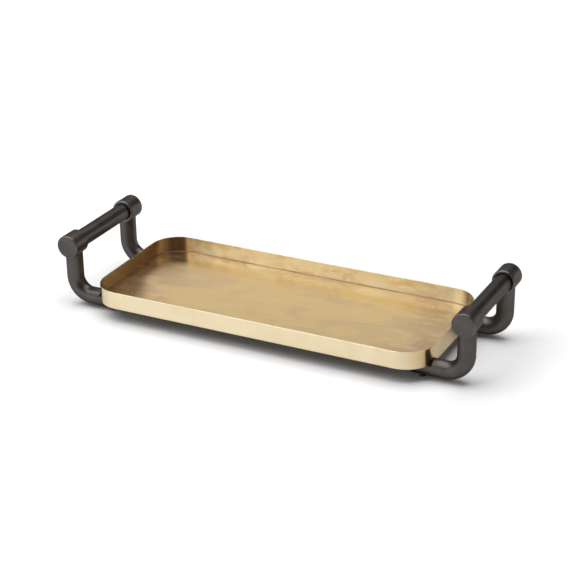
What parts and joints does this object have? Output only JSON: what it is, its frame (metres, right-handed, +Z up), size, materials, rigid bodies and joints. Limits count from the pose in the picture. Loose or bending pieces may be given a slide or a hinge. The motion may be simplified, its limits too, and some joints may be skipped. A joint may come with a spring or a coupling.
{
  "type": "serving tray",
  "caption": "Long shallow brass tray with rounded corners and an upright rim, carried between two dark bronzed handle frames of bent rod, sleeves and straight grip bars.",
  "frame": {"origin": "on the table, under the middle of the tray", "axes": "+X along the tray to its right end, +Y across it to the back, +Z up"},
  "size_m": [0.61, 0.21, 0.104],
  "materials": {
    "brass_floor": "brushed along the length and unevenly burnished, clear lacquered",
    "brass_band": "brushed along the strip, satin",
    "brass_boss": "turned",
    "bronzed_frame": "dark bronze, satin, faintly textured",
    "bronzed_bar": "dark bronze, satin, smooth",
    "plain_steel": "zinc plated",
    "foot_rubber": "matt"
  },
  "bodies": {
    "root": {"tray_floor": "brass_floor", "rim_band": "brass_band", "grip_bar_left": "bronzed_bar", "grip_bar_right": "bronzed_bar", "leg_front_left": "bronzed_frame", "sleeve_front_left": "bronzed_frame", "threaded_boss_front_left": "brass_boss", "foot_front_left": "foot_rubber", "leg_back_left": "bronzed_frame", "sleeve_back_left": "bronzed_frame", "threaded_boss_back_left": "brass_boss", "foot_back_left": "foot_rubber", "leg_front_right": "bronzed_frame", "sleeve_front_right": "bronzed_frame", "threaded_boss_front_right": "brass_boss", "foot_front_right": "foot_rubber", "leg_back_right": "bronzed_frame", "sleeve_back_right": "bronzed_frame", "threaded_boss_back_right": "brass_boss", "foot_back_right": "foot_rubber", "leg_dowels": "plain_steel", "lap_screws": "plain_steel", "lap_washers": "plain_steel"}
  },
  "joints": []
}
